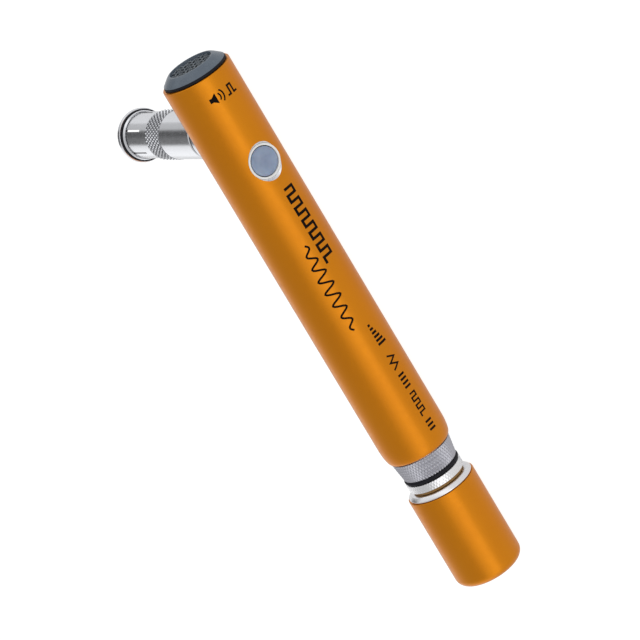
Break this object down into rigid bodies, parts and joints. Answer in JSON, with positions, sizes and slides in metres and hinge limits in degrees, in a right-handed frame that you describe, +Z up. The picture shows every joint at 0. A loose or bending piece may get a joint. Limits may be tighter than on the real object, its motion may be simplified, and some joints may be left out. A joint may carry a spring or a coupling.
{
  "type": "pocket coax toner",
  "caption": "Pen-shaped cable toner with a speaker cap, a press button, a sideways push-on coax adapter and a screw-on remote at the other end.",
  "frame": {"origin": "centre of the flat end of the remote, on the barrel's axis", "axes": "+X runs along the barrel to the speaker grille, +Y runs out of the barrel along the push-on adapter, the button faces -Y, +Z is up as the tool lies on a bench"},
  "size_m": [0.1315, 0.0489, 0.0158],
  "materials": {
    "orange_anodised": "satin orange anodised, black printed marks on the barrel",
    "bright_aluminium": "bright turned and knurled, unpainted",
    "nickel": "polished nickel plate on brass",
    "brass": "satin brass",
    "gold_plate": "bright gold plate",
    "spring_steel": "drawn wire and stamped strip",
    "dark_plastic": "moulded, fine satin",
    "grille_mesh": "black painted fine mesh",
    "clear_button": "smoky translucent, glossy",
    "black_rubber": "matt moulded rubber",
    "tan_rubber": "moulded",
    "white_dielectric": "machined white polymer",
    "green_board": "green solder mask",
    "black_epoxy": "moulded epoxy",
    "grey_carrier": "moulded",
    "cell_jacket": "printed shrink jacket over a steel can",
    "amber_lens": "clear amber lens"
  },
  "bodies": {
    "barrel": {"barrel_tube": "orange_anodised", "top_cap": "dark_plastic", "speaker_grille": "grille_mesh", "speaker_gasket": "black_rubber", "speaker_case": "black_epoxy", "piezo_disc": "brass", "button_ring": "white_dielectric", "button_seal": "black_rubber", "switch_body": "black_epoxy", "status_lamp": "amber_lens", "circuit_board": "green_board", "tone_chip": "black_epoxy", "boost_inductor": "black_epoxy", "smoothing_capacitor": "brass", "driver_transistor": "black_epoxy", "board_carrier": "grey_carrier", "battery_positive_contact": "brass", "battery": "cell_jacket", "battery_sleeve": "white_dielectric", "port_body": "nickel", "port_nut": "nickel", "port_washer": "spring_steel", "port_insulator": "white_dielectric", "port_contact": "gold_plate"},
    "button": {"button_cap": "clear_button"},
    "plunger": {"switch_plunger": "white_dielectric"},
    "adapter_seal": {"adapter_gasket": "black_rubber"},
    "adapter": {"adapter_body": "nickel", "adapter_sleeve": "nickel", "grip_ring": "black_rubber", "adapter_insulator": "white_dielectric", "adapter_pin": "gold_plate"},
    "plug_seal": {"plug_oring": "black_rubber"},
    "plug": {"plug_body": "bright_aluminium", "jack_insulator": "white_dielectric", "jack_contact": "gold_plate", "battery_negative_contact": "brass", "battery_spring": "spring_steel"},
    "remote_seal": {"remote_gasket": "tan_rubber"},
    "remote": {"remote_shell": "orange_anodised", "remote_insert": "bright_aluminium", "remote_insulator": "white_dielectric", "remote_pin": "gold_plate", "terminator_board": "green_board", "terminator_resistor": "black_epoxy", "remote_potting": "black_epoxy"}
  },
  "joints": [
    {"name": "button_press", "type": "slide", "parent": "barrel", "child": "button", "axis": [0, 1, 0], "range_m": [0, 0.0005], "stiffness_N_per_m": 1000, "springref_m": -0.0002},
    {"name": "plunger_press", "type": "slide", "parent": "barrel", "child": "plunger", "axis": [0, 1, 0], "range_m": [0, 0.00055]},
    {"name": "adapter_lift", "type": "slide", "parent": "barrel", "child": "adapter_seal", "axis": [0, 1, 0], "range_m": [0, 0.00635]},
    {"name": "adapter_screw", "type": "hinge", "parent": "adapter_seal", "child": "adapter", "pos_m": [0.1141, 0, 0], "axis": [0, 1, 0], "range_deg": [0, 2881]},
    {"name": "plug_lift", "type": "slide", "parent": "barrel", "child": "plug_seal", "axis": [-1, 0, 0], "range_m": [0, 0.005]},
    {"name": "plug_screw", "type": "hinge", "parent": "plug_seal", "child": "plug", "pos_m": [0, 0, 0], "axis": [-1, 0, 0], "range_deg": [0, 1801]},
    {"name": "remote_lift", "type": "slide", "parent": "plug", "child": "remote_seal", "axis": [-1, 0, 0], "range_m": [0, 0.00635]},
    {"name": "remote_screw", "type": "hinge", "parent": "remote_seal", "child": "remote", "pos_m": [0, 0, 0], "axis": [-1, 0, 0], "range_deg": [0, 2881]}
  ],
  "couplings": [
    {"joint": "plunger_press", "follows": "button_press", "ratio": 1},
    {"joint": "adapter_screw", "follows": "adapter_lift", "rad_per_m": 7915.8},
    {"joint": "plug_screw", "follows": "plug_lift", "rad_per_m": 6283.2},
    {"joint": "remote_screw", "follows": "remote_lift", "rad_per_m": 7915.8}
  ]
}
